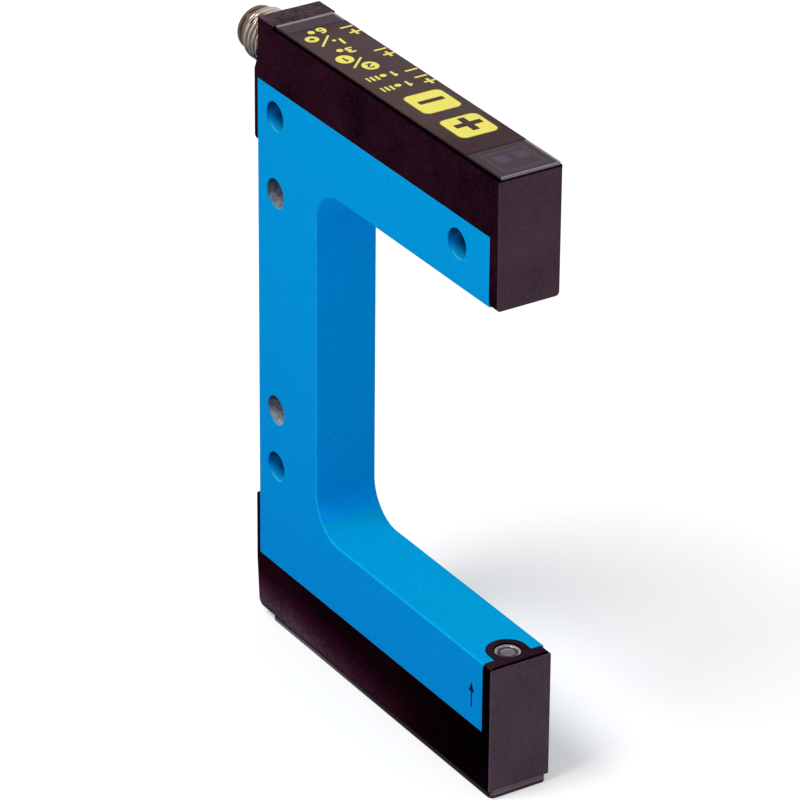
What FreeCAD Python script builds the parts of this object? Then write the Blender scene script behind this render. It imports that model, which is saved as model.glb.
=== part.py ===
"""Fork sensor: a C-shaped metal housing with a light beam across its mouth.

Millimetres. The beam runs along Z through X = 0 and Y = 0. Z = 0 is the
underside, +X points out of the mouth of the fork, and the connector leaves
towards -X. The side faces, at the two ends of Y, are the ones that bolt down.
"""
import FreeCAD, Part
import math
import os

V = FreeCAD.Vector

# Fork housing
thickness = 10.0
fork_gap = 54.4
fork_depth = 45.5
spine_width = 15.5
lower_arm = 10.9
upper_arm = 10.4
fork_radius = 6.0
fork_edge_chamfer = 0.2
nose_length = 2.0
beam_inset = 3.4

# Cross holes for M4 screws
hole_diameter = 4.5
hole_inset = 4.6
outer_hole_spacing = 55.2
inner_hole_spacing = 34.3
outer_hole_drop = 4.3
inner_hole_drop = 16.1
front_hole_inset = 9.9

# Covers
lower_cover_height = 8.7
upper_cover_height = 8.8
cover_wall = 1.0
cover_floor = 0.8
cover_overhang = 0.2
nose_round = 0.3
nose_lip_round = 0.4
lower_nose_corner = 0.9
upper_nose_corner = 0.5
rear_round = 0.6
heel_radius = 3.6
tab_thickness = 0.75
tab_end_round = 0.5
upper_tab_length = 9.4
lower_tab_length = 9.8
tab_run_out = 2.4

# Lens tubes, moulded on the covers
tube_radius = 2.95
tube_clearance = 0.1
light_bore_radius = 1.2
lens_radius = 1.95
lens_rim = 0.9
lens_dome = 0.5
lens_crown = 0.5
lens_recess = 0.1

# Lid, foil and base strip
lid_thickness = 0.5
lid_margin = 0.3
lid_corner = 0.3
rear_block_length = 4.5
rear_window_length = 3.4
front_window_length = 8.4
foil_thickness = 0.15
foil_gap = 0.1
strip_thickness = 1.3
strip_margin = 0.4
strip_front_gap = 0.1
strip_corner = 0.8
waist_height = 0.5
waist_inset = 0.3
waist_front_inset = 0.15

# Boards
board_thickness = 1.0
board_edge_gap = 0.1
ledge_width = 0.7
ledge_height = 2.0
lower_board_height = 2.1

# Keys
key_spacing = 8.85
plus_key_inset = 7.35
key_offset = 0.45
switch_side = 4.5
switch_height = 3.3
switch_corner = 0.5
plunger_radius = 1.2
plunger_clearance = 0.05
plunger_depth = 0.9
key_stroke = 0.25
key_opening_radius = 1.7

# Small electronic pieces
chip_side = 4.0
chip_height = 0.9
chip_inset = 31.0
chip_corner = 0.1
indicator_length = 1.6
indicator_width = 0.8
indicator_height = 0.7
guide_gap = 0.1
guide_radius = 1.2
guide_width = 3.0
guide_bar = 1.9
guide_round = 0.3
diode_side = 3.0
diode_height = 1.3
emitter_radius = 1.5
emitter_flange_radius = 1.8
emitter_flange = 0.6
emitter_height = 2.6
emitter_crown = 0.6

# Ribbon cable and its channel in the spine
channel_inset = 2.1
channel_length = 3.0
channel_width = 5.2
ribbon_width = 4.0
ribbon_thickness = 0.2
socket_length = 2.4
socket_width = 5.0
socket_height = 1.3
socket_grip = 0.9

# Pockets, seals and cover screws
pocket_depth = 4.5
pocket_width = 5.0
pocket_rear_gap = 1.6
pocket_front_gap = 2.6
seal_gap = 0.6
seal_width = 1.2
seal_thickness = 0.5
screw_radius = 0.95
screw_clearance = 0.05
screw_head_radius = 1.7
screw_head_height = 1.0
screw_grip = 4.0
screw_tip_gap = 0.5
screw_socket_radius = 0.75
screw_socket_depth = 0.6
screw_boss = 4.4
front_screw_inset = 21.4
screw_spacing = 14.0

# M8 connector
thread_radius = 3.95
thread_length = 5.0
thread_chamfer = 0.4
mouth_length = 1.9
mouth_radius = 3.35
socket_radius = 2.9
pin_exposed = 5.2
insert_face = 1.4
shell_web = 0.5
shank_radius = 2.8
shank_length = 6.8
shank_bore_radius = 2.2
connector_height = 3.3
connector_seal_length = 0.7
pin_radius = 0.4
pin_row = 1.05
pin_tail = 1.6
insert_tail = 0.8
insert_gap = 0.45

# Stations along X
nose_tip = beam_inset
housing_front = nose_tip - nose_length
fork_face = nose_tip - fork_depth
housing_rear = fork_face - spine_width
cover_rear = housing_rear - cover_overhang
tab_rear = housing_rear - tab_thickness
lid_rear = cover_rear + rear_block_length
foil_rear = lid_rear + rear_window_length
foil_front = nose_tip - front_window_length
cavity_front = nose_tip - cover_wall
channel_front = fork_face - channel_inset
channel_rear = channel_front - channel_length
ribbon_x = (channel_front + channel_rear) / 2.0
connector_seat = tab_rear
insert_end = connector_seat + shank_length + insert_tail
cavity_rear = insert_end + insert_gap
plus_key_x = foil_front - plus_key_inset
minus_key_x = plus_key_x - key_spacing
front_screw_x = nose_tip - front_screw_inset
screw_stations = (front_screw_x - screw_spacing, front_screw_x)

# Levels along Z
strip_top = strip_thickness
lower_seat = strip_top + lower_cover_height
gap_bottom = lower_seat + lower_arm
gap_top = gap_bottom + fork_gap
upper_seat = gap_top + upper_arm
rim = upper_seat + upper_cover_height
crest = rim + lid_thickness
lower_floor = lower_seat - cover_floor
upper_floor = upper_seat + cover_floor
main_board_bottom = upper_floor + ledge_height
main_board_top = main_board_bottom + board_thickness
lower_board_bottom = strip_top + lower_board_height
lower_board_top = lower_board_bottom + board_thickness
lens_seat_depth = lens_recess + lens_dome + lens_rim
connector_axis = upper_seat + connector_height

half = thickness / 2.0
tiny = 1e-6
cavity_half = half - cover_wall
ledge_half = cavity_half - ledge_width


def block(x0, x1, y0, y1, z0, z1):
    """Rectangular solid between two opposite corners."""
    return Part.makeBox(x1 - x0, y1 - y0, z1 - z0, V(x0, y0, z0))


def rod(radius, start, length, direction=V(0, 0, 1)):
    """Round bar from a start point."""
    return Part.makeCylinder(radius, length, start, direction)


def hexagon(radius, centre, height):
    """Upright six-sided bar; a negative height runs downwards."""
    corners = [centre + V(radius * math.cos(math.pi * i / 3.0), radius * math.sin(math.pi * i / 3.0), 0)
               for i in range(7)]
    return Part.Face(Part.makePolygon(corners)).extrude(V(0, 0, height))


def outline(corners):
    """Closed wire in the XZ plane through (x, z, radius) corners, each rounded by its radius."""
    edges = []
    ends = []
    count = len(corners)
    for i in range(count):
        x, z, radius = corners[i]
        here = V(x, 0, z)
        before = V(corners[i - 1][0], 0, corners[i - 1][1]) - here
        after = V(corners[(i + 1) % count][0], 0, corners[(i + 1) % count][1]) - here
        if radius <= 0:
            ends.append((here, here, None))
            continue
        before.normalize()
        after.normalize()
        turn = before.getAngle(after)
        reach = radius / math.tan(turn / 2.0)
        middle = before + after
        middle.normalize()
        bulge = radius / math.sin(turn / 2.0) - radius
        ends.append((here + before * reach, here + after * reach, here + middle * bulge))
    for i in range(count):
        start, stop, bulge_point = ends[i]
        if bulge_point is not None:
            edges.append(Part.Arc(start, bulge_point, stop).toShape())
        following = ends[(i + 1) % count][0]
        if stop.distanceToPoint(following) > tiny:
            edges.append(Part.LineSegment(stop, following).toShape())
    return Part.Wire(edges)


def slab(corners, y0, y1):
    """Solid of a rounded XZ outline between two Y planes."""
    face = Part.Face(outline(corners))
    face.translate(V(0, y0, 0))
    return face.extrude(V(0, y1 - y0, 0))


def tablet(x0, x1, half_width, radius, z0, z1):
    """Upright plate with four rounded vertical corners, centred on Y."""
    return rounded(block(x0, x1, -half_width, half_width, z0, z1), radius, upright)


def turned(profile, centre, axis):
    """Solid of revolution from (distance along the axis, radius) points."""
    points = [V(a, 0, r) for a, r in profile]
    points.append(points[0])
    ring = Part.Face(Part.makePolygon(points)).revolve(V(0, 0, 0), V(1, 0, 0), 360)
    ring.Placement = FreeCAD.Placement(centre, FreeCAD.Rotation(V(1, 0, 0), axis)).multiply(ring.Placement)
    return ring


def upright(edge):
    """Tell whether an edge runs straight along Z."""
    box = edge.BoundBox
    return box.XLength < tiny and box.YLength < tiny


def rounded(shape, radius, wanted):
    """Fillet the edges that a test picks out."""
    return shape.makeFillet(radius, [e for e in shape.Edges if wanted(e)])


def bevelled(shape, width, wanted):
    """Chamfer the edges that a test picks out."""
    return shape.makeChamfer(width, [e for e in shape.Edges if wanted(e)])


def mount_holes():
    """Centres of the five cross holes, rear ones first, as (x, z)."""
    rear = housing_rear + hole_inset
    outer_top = upper_seat - outer_hole_drop
    inner_top = upper_seat - inner_hole_drop
    return [(rear, outer_top),
            (rear, inner_top),
            (rear, inner_top - inner_hole_spacing),
            (rear, outer_top - outer_hole_spacing),
            (nose_tip - front_hole_inset, outer_top)]


def pocket_spans():
    """Stretches of pocket along X, with a solid boss left round each cover screw."""
    start = channel_rear - pocket_rear_gap
    stop = nose_tip - front_hole_inset - hole_diameter / 2.0 - pocket_front_gap
    spans = []
    for x in screw_stations:
        spans.append((start, x - screw_boss / 2.0))
        start = x + screw_boss / 2.0
    spans.append((start, stop))
    return spans


def seal_ring(z0, z1):
    """Flat ring round the pockets, with cut-off corners."""
    spans = pocket_spans()
    x0 = spans[0][0] - seal_gap
    x1 = spans[-1][1] + seal_gap
    inner_half = pocket_width / 2.0 + seal_gap
    outer_half = inner_half + seal_width
    outer = block(x0 - seal_width, x1 + seal_width, -outer_half, outer_half, z0, z1)
    inner = block(x0, x1, -inner_half, inner_half, z0, z1)
    return bevelled(outer, seal_width, upright).cut(bevelled(inner, seal_gap, upright))


def lens_tube(radius, z0, z1):
    """U-shaped bar round the beam, open-ended towards the nose."""
    return rod(radius, V(0, 0, z0), z1 - z0).fuse(block(0, housing_front, -radius, radius, z0, z1))


def fork_housing():
    body = slab([(housing_rear, lower_seat, 0),
                 (housing_front, lower_seat, 0),
                 (housing_front, gap_bottom, 0),
                 (fork_face, gap_bottom, fork_radius),
                 (fork_face, gap_top, fork_radius),
                 (housing_front, gap_top, 0),
                 (housing_front, upper_seat, 0),
                 (housing_rear, upper_seat, 0)], -half, half)

    def on_fork_rim(edge):
        box = edge.BoundBox
        flat = box.YLength < tiny
        inside = box.XMin > fork_face - tiny
        between = box.ZMin > gap_bottom - tiny and box.ZMax < gap_top + tiny
        return flat and inside and between

    body = bevelled(body, fork_edge_chamfer, on_fork_rim)
    seats = ((lower_seat, 1), (upper_seat, -1))
    for z, inward in seats:
        deep = z + inward * pocket_depth
        for x0, x1 in pocket_spans():
            body = body.cut(block(x0, x1, -pocket_width / 2.0, pocket_width / 2.0,
                                  min(z, deep), max(z, deep)))
        groove = z + inward * seal_thickness
        body = body.cut(seal_ring(min(z, groove), max(z, groove)))
        for x in screw_stations:
            body = body.cut(rod(screw_radius + screw_clearance, V(x, 0, z), screw_grip + screw_tip_gap,
                                V(0, 0, inward)))
    body = body.cut(block(channel_rear, channel_front, -channel_width / 2.0, channel_width / 2.0,
                          lower_seat, upper_seat))
    for z0, z1 in ((lower_seat, gap_bottom), (gap_top, upper_seat)):
        body = body.cut(lens_tube(tube_radius + tube_clearance, z0, z1))
    for x, z in mount_holes():
        body = body.cut(rod(hole_diameter / 2.0, V(x, -half, z), thickness, V(0, 1, 0)))
    return body


def cut_cover_holes(cover, seat, floor):
    """Ribbon slot and screw holes through a cover's floor."""
    z0 = min(seat, floor)
    z1 = max(seat, floor)
    cover = cover.cut(block(channel_rear, channel_front, -channel_width / 2.0, channel_width / 2.0, z0, z1))
    for x in screw_stations:
        cover = cover.cut(rod(screw_radius + screw_clearance, V(x, 0, z0), z1 - z0))
    return cover


def on_nose_corner(edge):
    """Upright edges down the two front corners of a cover."""
    box = edge.BoundBox
    return upright(edge) and box.XMin > nose_tip - tiny and abs(abs(box.YMin) - half) < tiny


def cut_nose_corners(cover, z, inward, radius):
    """Round the two corners at the open end of a nose, seen from the front."""
    for side in (-1, 1):
        y = side * (half - radius)
        bar = rod(radius, V(housing_front, y, z + inward * radius), nose_length, V(1, 0, 0))
        edge_z = z + inward * radius
        corner = block(housing_front, nose_tip, min(y, side * half), max(y, side * half),
                       min(z, edge_z), max(z, edge_z))
        cover = cover.cut(corner.cut(bar))
    return cover


def cut_rear_corners(cover, z0, z1):
    """Round the two upright corners behind the rear window."""
    for side in (-1, 1):
        y = side * (half - rear_round)
        bar = rod(rear_round, V(cover_rear + rear_round, y, z0), z1 - z0)
        corner = block(cover_rear, cover_rear + rear_round, min(y, side * half), max(y, side * half), z0, z1)
        cover = cover.cut(corner.cut(bar))
    return cover


def upper_cover():
    body = slab([(tab_rear, upper_seat - upper_tab_length, tab_end_round),
                 (housing_rear, upper_seat - upper_tab_length, 0),
                 (housing_rear, upper_seat, 0),
                 (housing_front, upper_seat, 0),
                 (housing_front, gap_top, 0),
                 (nose_tip, gap_top, nose_lip_round),
                 (nose_tip, rim, 0),
                 (lid_rear, rim, 0),
                 (lid_rear, crest, 0),
                 (cover_rear, crest, tab_end_round),
                 (cover_rear, upper_seat + tab_run_out, tab_run_out),
                 (tab_rear, upper_seat + tab_run_out / 2.0, tab_run_out / 2.0)], -half, half)
    body = rounded(body, nose_round, on_nose_corner)
    body = cut_rear_corners(body, upper_seat + tab_run_out, crest)
    body = cut_nose_corners(body, gap_top, 1, upper_nose_corner)
    body = body.fuse(lens_tube(tube_radius, gap_top, upper_seat)).removeSplitter()
    shelf = connector_axis + shank_radius + screw_radius / 2.0
    guide_shelf = rim - guide_bar - guide_gap
    wide = cavity_half
    body = body.cut(block(cavity_rear, cavity_front, -ledge_half, ledge_half, upper_floor, rim))
    body = body.cut(block(cavity_rear, cavity_front, -wide, wide, main_board_bottom, rim))
    body = body.cut(block(lid_rear, cavity_rear, -wide, wide, max(shelf, guide_shelf), rim))
    bore_length = cavity_rear - tab_rear
    body = body.cut(rod(shank_radius, V(tab_rear, 0, connector_axis), bore_length, V(1, 0, 0)))
    body = cut_cover_holes(body, upper_seat, upper_floor)
    body = body.cut(rod(light_bore_radius, V(0, 0, gap_top), upper_floor - gap_top))
    body = body.cut(rod(lens_radius, V(0, 0, gap_top), lens_seat_depth))
    return body


def lower_cover():
    body = slab([(tab_rear, lower_seat + lower_tab_length, tab_end_round),
                 (tab_rear, lower_seat - tab_run_out / 2.0, tab_run_out / 2.0),
                 (cover_rear, strip_top, heel_radius),
                 (nose_tip, strip_top, 0),
                 (nose_tip, gap_bottom, nose_lip_round),
                 (housing_front, gap_bottom, 0),
                 (housing_front, lower_seat, 0),
                 (housing_rear, lower_seat, 0),
                 (housing_rear, lower_seat + lower_tab_length, 0)], -half, half)
    body = rounded(body, nose_round, on_nose_corner)
    body = cut_nose_corners(body, gap_bottom, -1, lower_nose_corner)
    body = body.fuse(lens_tube(tube_radius, lower_seat, gap_bottom)).removeSplitter()
    rear = max(cavity_rear, lid_rear)
    wide = cavity_half
    body = body.cut(block(rear, cavity_front, -ledge_half, ledge_half, strip_top, lower_floor))
    body = body.cut(block(rear, cavity_front, -wide, wide, strip_top, lower_board_top))
    body = cut_cover_holes(body, lower_seat, lower_floor)
    body = body.cut(rod(light_bore_radius, V(0, 0, lower_floor), gap_bottom - lower_floor))
    body = body.cut(rod(lens_radius, V(0, 0, gap_bottom - lens_seat_depth), lens_seat_depth))
    return body


def key_centres():
    """(name, x) of the two keys."""
    return (("minus", minus_key_x), ("plus", plus_key_x))


def top_lid():
    width = half - lid_margin
    lid = tablet(lid_rear, nose_tip, width, lid_corner, rim, crest)
    recess = block(foil_rear - foil_gap, foil_front + foil_gap, -half, half, crest - foil_thickness, crest)
    lid = lid.cut(recess)
    for _, x in key_centres():
        lid = lid.cut(rod(key_opening_radius, V(x, key_offset, rim), lid_thickness))
    return lid


def keypad_foil():
    width = half - lid_margin
    return block(foil_rear, foil_front, -width, width, crest - foil_thickness, crest)


def base_strip():
    """Plate with a narrower waist on top, which leaves a shadow gap under the cover."""
    width = half - strip_margin
    front = nose_tip - strip_front_gap
    plate_top = strip_thickness - waist_height
    plate = tablet(lid_rear, front, width, strip_corner, 0, plate_top)
    waist = tablet(lid_rear + waist_inset, front - waist_front_inset, width - waist_inset,
                   strip_corner - waist_inset, plate_top, strip_thickness)
    return plate.fuse(waist)


def main_board():
    side = cavity_half - board_edge_gap
    return block(cavity_rear + board_edge_gap, cavity_front - board_edge_gap, -side, side,
                 main_board_bottom, main_board_top)


def emitter_board():
    rear = max(cavity_rear, lid_rear)
    side = cavity_half - board_edge_gap
    return block(rear + board_edge_gap, cavity_front - board_edge_gap, -side, side,
                 lower_board_bottom, lower_board_top)


def key_switch(x):
    """Square switch case with the plunger's bore in its top."""
    side = switch_side / 2.0
    top = main_board_top + switch_height
    case = block(x - side, x + side, key_offset - side, key_offset + side, main_board_top, top)
    case = bevelled(case, switch_corner, upright)
    depth = plunger_depth + key_stroke + plunger_clearance
    bore = rod(plunger_radius + plunger_clearance, V(x, key_offset, top - depth), depth)
    return case.cut(bore)


def key_plunger(x):
    """Round plunger that stands in the switch and reaches the underside of the foil."""
    bottom = main_board_top + switch_height - plunger_depth
    top = crest - foil_thickness
    return rod(plunger_radius, V(x, key_offset, bottom), top - bottom)


def microcontroller():
    x = foil_front - chip_inset
    side = chip_side / 2.0
    chip = block(x - side, x + side, -side, side, main_board_top, main_board_top + chip_height)
    return bevelled(chip, chip_corner, lambda e: e.BoundBox.ZMin > main_board_top + chip_height - tiny)


def indicator(x):
    """Small square-cornered lamp on the main board."""
    body = block(x - indicator_length / 2.0, x + indicator_length / 2.0, -indicator_width / 2.0,
                 indicator_width / 2.0, main_board_top, main_board_top + indicator_height)
    return body


front_indicator_x = foil_front + front_window_length / 3.0
rear_indicator_x = cavity_rear + pin_tail + indicator_length


def front_light_guide():
    bottom = main_board_top + indicator_height + guide_gap
    return rod(guide_radius, V(front_indicator_x, 0, bottom), rim - bottom)


def rear_light_guide():
    """Bar under the rear window with a leg down to its lamp."""
    bottom = main_board_top + indicator_height + guide_gap
    leg = indicator_length / 2.0 + guide_gap
    bar_bottom = rim - guide_bar
    return slab([(lid_rear + guide_gap, bar_bottom, guide_round),
                 (rear_indicator_x - leg, bar_bottom, guide_gap),
                 (rear_indicator_x - leg, bottom, 0),
                 (rear_indicator_x + leg, bottom, 0),
                 (rear_indicator_x + leg, rim, 0),
                 (lid_rear + guide_gap, rim, 0)], -guide_width / 2.0, guide_width / 2.0)


def receiver_diode():
    side = diode_side / 2.0
    body = block(-side, side, -side, side, main_board_bottom - diode_height, main_board_bottom)
    return bevelled(body, chip_corner, upright)


def emitter_led():
    """Flanged lamp with a domed top, standing on the lower board."""
    foot = rod(emitter_flange_radius, V(0, 0, lower_board_top), emitter_flange)
    barrel = rod(emitter_radius, V(0, 0, lower_board_top), emitter_height)
    top = lower_board_top + emitter_height
    lamp = foot.fuse(barrel).removeSplitter()
    return bevelled(lamp, emitter_crown, lambda e: e.BoundBox.ZMin > top - tiny)


def lens(seat, outward):
    """Plano-convex lens: a rim against the seat and a flat-topped dome towards the beam."""
    profile = [(0, 0),
               (0, lens_radius),
               (lens_rim, lens_radius),
               (lens_rim + lens_dome, lens_radius * lens_crown),
               (lens_rim + lens_dome, 0)]
    return turned(profile, V(0, 0, seat), V(0, 0, outward))


def ribbon_cable():
    bottom = lower_board_top + socket_height - socket_grip
    top = main_board_bottom - socket_height + socket_grip
    return block(ribbon_x - ribbon_thickness / 2.0, ribbon_x + ribbon_thickness / 2.0,
                 -ribbon_width / 2.0, ribbon_width / 2.0, bottom, top)


def ribbon_socket(z0, z1, ribbon):
    """Socket on a board, with the slot that grips the end of the ribbon."""
    body = block(ribbon_x - socket_length / 2.0, ribbon_x + socket_length / 2.0,
                 -socket_width / 2.0, socket_width / 2.0, z0, z1)
    return body.cut(ribbon)


def cover_screws(floor, inward):
    """Two socket-head screws from a cover's floor into the housing."""
    screws = []
    for x in screw_stations:
        head = rod(screw_head_radius, V(x, 0, floor), screw_head_height, V(0, 0, -inward))
        shank = rod(screw_radius, V(x, 0, floor), cover_floor + screw_grip, V(0, 0, inward))
        recess_start = floor - inward * (screw_head_height - screw_socket_depth)
        recess = hexagon(screw_socket_radius, V(x, 0, recess_start), -inward * screw_socket_depth)
        screws.append(head.fuse(shank).removeSplitter().cut(recess))
    return Part.makeCompound(screws)


thread_start = connector_seat - connector_seal_length
thread_end = thread_start - thread_length
mouth_end = thread_end - mouth_length


def connector_shell():
    """Threaded barrel, open at the mouth, with a thinner shank inside the cover."""
    web = thread_start - shell_web
    profile = [(mouth_end, socket_radius),
               (mouth_end, mouth_radius),
               (thread_end, mouth_radius),
               (thread_end, thread_radius - thread_chamfer),
               (thread_end + thread_chamfer, thread_radius),
               (thread_start, thread_radius),
               (thread_start, shank_radius),
               (connector_seat + shank_length, shank_radius),
               (connector_seat + shank_length, shank_bore_radius),
               (web, shank_bore_radius),
               (web, socket_radius)]
    return turned(profile, V(0, 0, connector_axis), V(1, 0, 0))


def pin_places():
    """(y, z) of the four pins: two rows that clasp the main board."""
    row_up = main_board_top + pin_radius
    row_down = main_board_bottom - pin_radius
    return [(y, z) for z in (row_down, row_up) for y in (-pin_row, pin_row)]


def pin_rod(y, z):
    """One contact pin, from the plug's side to its pad on the board."""
    start = thread_start - insert_face - pin_exposed
    return rod(pin_radius, V(start, y, z), cavity_rear + pin_tail - start, V(1, 0, 0))


def connector_pins():
    return Part.makeCompound([pin_rod(y, z) for y, z in pin_places()])


def connector_insert():
    """Moulded insert that fills the shank and carries the pins."""
    web = thread_start - shell_web
    face = thread_start - insert_face
    profile = [(face, 0),
               (face, socket_radius),
               (web, socket_radius),
               (web, shank_bore_radius),
               (insert_end, shank_bore_radius),
               (insert_end, 0)]
    body = turned(profile, V(0, 0, connector_axis), V(1, 0, 0))
    for y, z in pin_places():
        body = body.cut(rod(pin_radius, V(face, y, z), insert_end - face, V(1, 0, 0)))
    return body


def connector_seal():
    """Flat ring squeezed between the thread's shoulder and the cover."""
    start = V(thread_start, 0, connector_axis)
    body = rod(thread_radius, start, connector_seal_length, V(1, 0, 0))
    return body.cut(rod(shank_radius, start, connector_seal_length, V(1, 0, 0)))


ribbon = ribbon_cable()

nodes = {
    "fork_housing": fork_housing(),
    "upper_cover": upper_cover(),
    "lower_cover": lower_cover(),
    "top_lid": top_lid(),
    "keypad_foil": keypad_foil(),
    "base_strip": base_strip(),
    "main_board": main_board(),
    "emitter_board": emitter_board(),
    "microcontroller": microcontroller(),
    "indicator_led_front": indicator(front_indicator_x),
    "indicator_led_rear": indicator(rear_indicator_x),
    "front_light_guide": front_light_guide(),
    "rear_light_guide": rear_light_guide(),
    "receiver_diode": receiver_diode(),
    "receiver_lens": lens(gap_top + lens_seat_depth, -1),
    "emitter_led": emitter_led(),
    "emitter_lens": lens(gap_bottom - lens_seat_depth, 1),
    "ribbon_cable": ribbon,
    "ribbon_socket_upper": ribbon_socket(main_board_bottom - socket_height, main_board_bottom, ribbon),
    "ribbon_socket_lower": ribbon_socket(lower_board_top, lower_board_top + socket_height, ribbon),
    "upper_seal": seal_ring(upper_seat - seal_thickness, upper_seat),
    "lower_seal": seal_ring(lower_seat, lower_seat + seal_thickness),
    "upper_cover_screws": cover_screws(upper_floor, -1),
    "lower_cover_screws": cover_screws(lower_floor, 1),
    "connector_shell": connector_shell(),
    "connector_insert": connector_insert(),
    "connector_pins": connector_pins(),
    "connector_seal": connector_seal(),
}
for name, x in key_centres():
    nodes["key_switch_" + name] = key_switch(x)
    nodes["key_plunger_" + name] = key_plunger(x)

os.makedirs("parts", exist_ok=True)
for name, shape in nodes.items():
    if not shape.isValid():
        raise ValueError(name + " is not a valid shape")
    shape.exportStep("parts/" + name + ".step")
    box = shape.BoundBox
    print("%-22s solids %d  volume %9.2f  X %.2f..%.2f  Y %.2f..%.2f  Z %.2f..%.2f" % (
        name, len(shape.Solids), shape.Volume, box.XMin, box.XMax, box.YMin, box.YMax, box.ZMin, box.ZMax))
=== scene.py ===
"""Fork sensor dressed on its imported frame: paint, mouldings, printed film, lenses, plug thread and a light stage."""
import math

import bmesh
import bpy
from mathutils import Matrix, Vector, geometry


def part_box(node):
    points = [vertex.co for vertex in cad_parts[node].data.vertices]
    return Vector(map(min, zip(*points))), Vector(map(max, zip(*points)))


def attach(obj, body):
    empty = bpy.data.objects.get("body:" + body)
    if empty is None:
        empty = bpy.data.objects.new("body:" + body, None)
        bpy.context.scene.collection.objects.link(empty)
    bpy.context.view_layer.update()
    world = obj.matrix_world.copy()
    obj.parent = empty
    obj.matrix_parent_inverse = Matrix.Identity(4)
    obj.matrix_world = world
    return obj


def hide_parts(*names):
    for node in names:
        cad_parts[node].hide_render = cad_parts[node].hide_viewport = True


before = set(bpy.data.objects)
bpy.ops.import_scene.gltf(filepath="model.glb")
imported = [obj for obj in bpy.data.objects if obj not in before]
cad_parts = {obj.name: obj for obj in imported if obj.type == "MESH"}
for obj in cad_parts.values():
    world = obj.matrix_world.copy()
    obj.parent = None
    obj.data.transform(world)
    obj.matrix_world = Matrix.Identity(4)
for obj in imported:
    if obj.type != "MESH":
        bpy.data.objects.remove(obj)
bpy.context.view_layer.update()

bl_info = {
    "name": "Fork Sensor",
    "version": (1, 0, 0),
    "blender": (4, 5, 0),
    "location": "3D View > Sidebar > Sensor",
    "description": "Dresses a fork light sensor with its paint, mouldings, printed keypad, lenses and plug thread",
    "category": "Object",
}

MM = 0.001


# Lengths read from the frame, in metres

def low(node):
    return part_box(node)[0]


def high(node):
    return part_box(node)[1]


HALF = high("fork_housing")[1]
SEAT_TOP = high("fork_housing")[2]
NOSE_TIP = high("lower_cover")[0]
GAP = (high("lower_cover")[2], low("upper_cover")[2])
HEEL_X = low("lower_cover")[0] + 0.55 * MM
HEEL_Z = low("lower_cover")[2]
REAR_HOLE_X = low("fork_housing")[0] + 4.6 * MM

# Two rounds and an end that are redrawn: how far each reaches in the solids, then its new share or its way
HEEL_REACH, HEEL_SHARE = 3.45 * MM, 0.33
NOSE_BACK, NOSE_REACH, NOSE_SHARE = 2.1 * MM, 0.52 * MM, 1.8
STRIP_REACH, STRIP_WAY = 0.9 * MM, 1.5 * MM

# Cross holes, as place along X, drop below the upper seat, and 1 where the walls are bare metal
HOLE_REACH = 2.28 * MM
HOLES = ((REAR_HOLE_X, 4.3 * MM, 0.0), (REAR_HOLE_X, 16.1 * MM, 1.0), (REAR_HOLE_X, 50.4 * MM, 1.0),
         (REAR_HOLE_X, 59.5 * MM, 0.0), (NOSE_TIP - 9.9 * MM, 4.3 * MM, 0.0))


class SensorColours(bpy.types.PropertyGroup):
    """Colours of the sensor's finishes."""
    paint: bpy.props.FloatVectorProperty(
        name="Paint", description="Colour of the painted fork", subtype="COLOR",
        default=(0.0, 0.309, 0.72), min=0.0, max=1.0)
    moulding: bpy.props.FloatVectorProperty(
        name="Mouldings", description="Colour of the black covers", subtype="COLOR",
        default=(0.0161, 0.0033, 0.0087), min=0.0, max=1.0)
    film: bpy.props.FloatVectorProperty(
        name="Film", description="Ground colour of the printed film", subtype="COLOR",
        default=(0.053, 0.026, 0.026), min=0.0, max=1.0)
    print_yellow: bpy.props.FloatVectorProperty(
        name="Print", description="Colour of the keys and marks on the film", subtype="COLOR",
        default=(0.86, 0.77, 0.14), min=0.0, max=1.0)
    smoke: bpy.props.FloatVectorProperty(
        name="Window tint", description="Tint of the smoked windows", subtype="COLOR",
        default=(0.042, 0.017, 0.03), min=0.0, max=1.0)
    nickel: bpy.props.FloatVectorProperty(
        name="Nickel", description="Colour of the plated plug thread", subtype="COLOR",
        default=(0.58, 0.52, 0.45), min=0.0, max=1.0)


class SensorSizes(bpy.types.PropertyGroup):
    """Small sizes that only the dressed model has."""
    paint_round: bpy.props.FloatProperty(
        name="Paint edge round", description="Radius on the painted edges", unit="LENGTH",
        default=0.16 * MM, min=0.02 * MM, max=0.4 * MM, precision=5)
    moulding_round: bpy.props.FloatProperty(
        name="Moulding edge round", description="Radius on the covers' edges", unit="LENGTH",
        default=0.14 * MM, min=0.02 * MM, max=0.4 * MM, precision=5)
    thread_pitch: bpy.props.FloatProperty(
        name="Thread pitch", description="Pitch of the plug thread", unit="LENGTH",
        default=1.0 * MM, min=0.5 * MM, max=1.5 * MM, precision=5)
    thread_depth: bpy.props.FloatProperty(
        name="Thread depth", description="Depth of the plug thread", unit="LENGTH",
        default=0.6 * MM, min=0.2 * MM, max=0.6 * MM, precision=5)


class SensorStage(bpy.types.PropertyGroup):
    """Camera and light levels."""
    lens: bpy.props.FloatProperty(
        name="Lens", description="Focal length in millimetres on a 36 mm sensor", default=241.67, min=50.0, max=500.0)
    sky: bpy.props.FloatProperty(
        name="Sky", description="Level of the even light from all round", default=0.45, min=0.0, max=2.0)
    key: bpy.props.FloatProperty(
        name="Key lamp", description="Strength of the large soft lamp", default=2.0, min=0.0, max=5.0)


# Helpers for meshes

WELD = 0.002 * MM
FLAT = math.radians(1.0)
SHARP = math.radians(34.0)
CREASE = 32.0


def new_object(name, mesh, body="root"):
    piece = bpy.data.objects.new(name, mesh)
    bpy.context.scene.collection.objects.link(piece)
    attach(piece, body)
    return piece


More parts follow.
